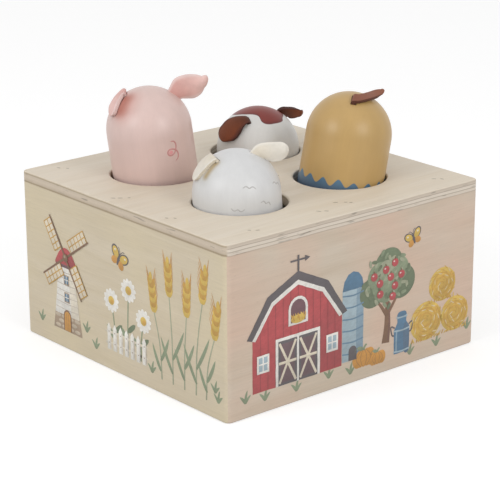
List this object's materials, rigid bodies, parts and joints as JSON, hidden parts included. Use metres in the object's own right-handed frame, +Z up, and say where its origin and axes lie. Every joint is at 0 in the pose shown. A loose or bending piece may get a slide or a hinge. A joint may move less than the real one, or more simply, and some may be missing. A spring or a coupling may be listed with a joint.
{
  "type": "pop up animal toy",
  "caption": "Square plywood box with round animal pegs that rise and sink in pairs on hidden see-saw rockers when one is pressed.",
  "frame": {"origin": "middle of the box underside, on the surface it rests on", "axes": "+Z up, -Y towards the front board, +X towards the hen and the cow"},
  "size_m": [0.15, 0.15, 0.1253],
  "materials": {
    "birch_ply": "satin",
    "pine_block": "matte",
    "beech": "satin",
    "zinc_steel": "satin",
    "pink_lacquer": "satin",
    "white_lacquer": "satin",
    "cream_white_lacquer": "satin",
    "ochre_lacquer": "satin",
    "pink_leather": "matte",
    "cream_leather": "matte",
    "brown_leather": "matte",
    "russet_leather": "matte"
  },
  "bodies": {
    "box": {"top_board": "birch_ply", "front_board": "birch_ply", "back_board": "birch_ply", "left_board": "birch_ply", "right_board": "birch_ply", "bottom_board": "birch_ply", "corner_blocks": "pine_block", "base_screws": "zinc_steel", "front_axle_post": "beech", "middle_axle_post": "beech", "back_axle_post": "beech", "axle_rod": "zinc_steel", "inner_spacers": "beech", "outer_spacers": "beech"},
    "front_rocker": {"front_rocker": "beech"},
    "back_rocker": {"back_rocker": "beech"},
    "hen_foot": {"hen_foot": "beech"},
    "hen": {"hen_body": "ochre_lacquer", "hen_disc": "birch_ply", "hen_screw": "zinc_steel", "hen_comb": "russet_leather"},
    "sheep_foot": {"sheep_foot": "beech"},
    "sheep": {"sheep_body": "cream_white_lacquer", "sheep_disc": "birch_ply", "sheep_screw": "zinc_steel", "sheep_left_ear": "cream_leather", "sheep_right_ear": "cream_leather"},
    "pig_foot": {"pig_foot": "beech"},
    "pig": {"pig_body": "pink_lacquer", "pig_disc": "birch_ply", "pig_screw": "zinc_steel", "pig_left_ear": "pink_leather", "pig_right_ear": "pink_leather"},
    "cow_foot": {"cow_foot": "beech"},
    "cow": {"cow_body": "white_lacquer", "cow_disc": "birch_ply", "cow_screw": "zinc_steel", "cow_left_ear": "brown_leather", "cow_right_ear": "brown_leather"}
  },
  "joints": [
    {"name": "hen_slide", "type": "slide", "parent": "box", "child": "hen_foot", "axis": [0.2164, 0, 0.9763], "range_m": [-0.01705, 0.00251]},
    {"name": "hen_turn", "type": "hinge", "parent": "hen_foot", "child": "hen", "pos_m": [0.03085, -0.0303, 0.08], "axis": [0.2164, 0, 0.9763], "continuous": true},
    {"name": "sheep_slide", "type": "slide", "parent": "box", "child": "sheep_foot", "axis": [-0.0872, 0, 0.9962], "range_m": [-0.00258, 0.01742]},
    {"name": "sheep_turn", "type": "hinge", "parent": "sheep_foot", "child": "sheep", "pos_m": [-0.03112, -0.0296, 0.08], "axis": [-0.0872, 0, 0.9962], "continuous": true},
    {"name": "front_rocker_tilt", "type": "hinge", "parent": "box", "child": "front_rocker", "pos_m": [0, -0.03, 0.03698], "axis": [0, -1, 0], "range_deg": [-34.1, 5.1]},
    {"name": "pig_slide", "type": "slide", "parent": "box", "child": "pig_foot", "axis": [-0.1478, 0, 0.989], "range_m": [-0.01981, 0]},
    {"name": "pig_turn", "type": "hinge", "parent": "pig_foot", "child": "pig", "pos_m": [-0.03007, 0.0308, 0.08], "axis": [-0.1478, 0, 0.989], "continuous": true},
    {"name": "cow_slide", "type": "slide", "parent": "box", "child": "cow_foot", "axis": [0.0698, 0, 0.9976], "range_m": [0, 0.02]},
    {"name": "cow_turn", "type": "hinge", "parent": "cow_foot", "child": "cow", "pos_m": [0.03087, 0.0292, 0.08], "axis": [0.0698, 0, 0.9976], "continuous": true},
    {"name": "back_rocker_tilt", "type": "hinge", "parent": "box", "child": "back_rocker", "pos_m": [0, 0.03, 0.03698], "axis": [0, -1, 0], "range_deg": [0, 39.1]}
  ],
  "couplings": [
    {"joint": "sheep_slide", "follows": "hen_slide", "ratio": -1.0204},
    {"joint": "front_rocker_tilt", "follows": "hen_slide", "rad_per_m": 34.811},
    {"joint": "cow_slide", "follows": "pig_slide", "ratio": -1.0086},
    {"joint": "back_rocker_tilt", "follows": "pig_slide", "rad_per_m": -34.363}
  ]
}
